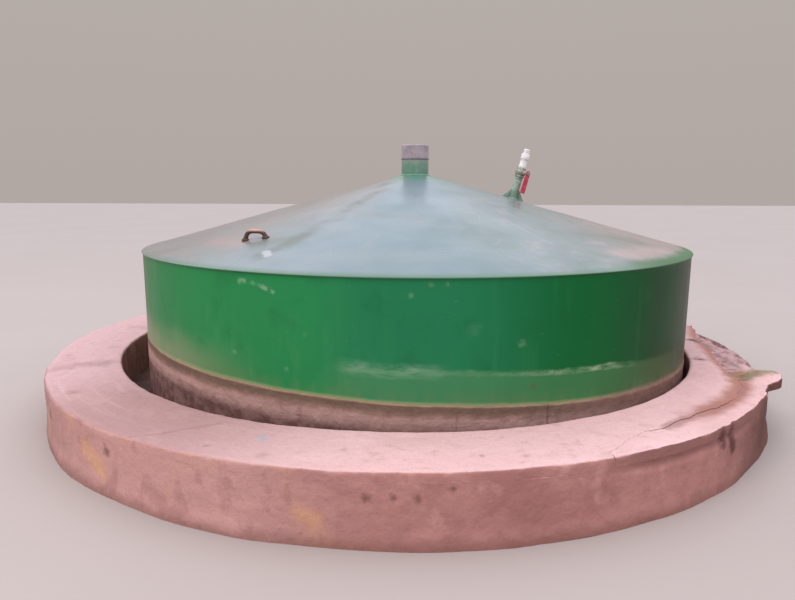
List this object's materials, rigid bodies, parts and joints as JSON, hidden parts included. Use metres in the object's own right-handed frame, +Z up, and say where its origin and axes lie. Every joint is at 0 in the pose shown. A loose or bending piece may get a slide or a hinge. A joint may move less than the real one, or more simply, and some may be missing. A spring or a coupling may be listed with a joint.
{
  "type": "floating-drum biogas digester",
  "caption": "Biogas digester: a green steel gas holder with a shallow conical roof, floating in a plastered ring wall on a central guide pipe, with a valved gas outlet.",
  "frame": {"origin": "centre of the ring wall at ground level", "axes": "+Z up, -Y the front that the picture shows, +X to the right; the gas outlet is on the +X side"},
  "size_m": [2.83, 2.83, 1.02],
  "materials": {
    "ring_plaster": "matt cement plaster, weathered and patchy",
    "ring_screed": "matt cement screed, worn and cracked",
    "green_enamel": "gloss enamel paint, with a dried slurry band at the foot",
    "roof_enamel": "gloss enamel paint under a film of dust",
    "slurry_steel": "mild steel coated with dried slurry",
    "grey_cap": "dull grey primer",
    "rusty_bar": "rusty round bar",
    "valve_metal": "dull plated brass",
    "white_fitting": "white plastic, slightly dirty",
    "red_lever": "red plastic-dipped lever"
  },
  "bodies": {
    "root": {"curb_wall_1": "ring_plaster", "curb_wall_2": "ring_plaster", "curb_wall_3": "ring_plaster", "curb_wall_4": "ring_plaster", "curb_wall_5": "ring_plaster", "curb_wall_6": "ring_plaster", "coping_1": "ring_screed", "coping_broken_strip": "ring_screed", "coping_2": "ring_screed", "coping_3": "ring_screed", "coping_4": "ring_screed", "coping_5": "ring_screed", "coping_6": "ring_screed", "guide_beam_1": "slurry_steel", "guide_beam_2": "slurry_steel", "guide_beam_3": "slurry_steel", "guide_beam_4": "slurry_steel", "guide_socket": "slurry_steel"},
    "guide_pipe": {"guide_pipe": "slurry_steel"},
    "gas_holder": {"side_plate_1": "green_enamel", "side_plate_2": "green_enamel", "side_plate_3": "green_enamel", "roof_plate_1": "roof_enamel", "roof_plate_2": "roof_enamel", "roof_plate_3": "roof_enamel", "roof_plate_4": "roof_enamel", "roof_plate_5": "roof_enamel", "roof_plate_6": "roof_enamel", "top_ring": "slurry_steel", "foot_ring": "slurry_steel", "guide_sleeve": "green_enamel", "sleeve_cap": "grey_cap", "foot_tie_1": "slurry_steel", "foot_tie_2": "slurry_steel", "foot_tie_3": "slurry_steel", "roof_rafter_1": "slurry_steel", "roof_rafter_2": "slurry_steel", "roof_rafter_3": "slurry_steel", "handle_1": "rusty_bar", "handle_2": "rusty_bar", "outlet_pipe": "green_enamel", "outlet_gusset_1": "green_enamel", "outlet_gusset_2": "green_enamel", "valve_body": "valve_metal", "outlet_fitting": "white_fitting"},
    "valve_lever": {"valve_lever": "red_lever"}
  },
  "joints": [
    {"name": "holder_turn", "type": "hinge", "parent": "root", "child": "guide_pipe", "pos_m": [0.042, 0, 0], "axis": [0, 0, 1], "continuous": true},
    {"name": "holder_float", "type": "slide", "parent": "guide_pipe", "child": "gas_holder", "axis": [0, 0, 1], "range_m": [0, 0.1]},
    {"name": "valve_turn", "type": "hinge", "parent": "gas_holder", "child": "valve_lever", "pos_m": [0.522, 0.00995, 0.90025], "axis": [0.5916, -0.7939, -0.1405], "range_deg": [0, 90]}
  ]
}
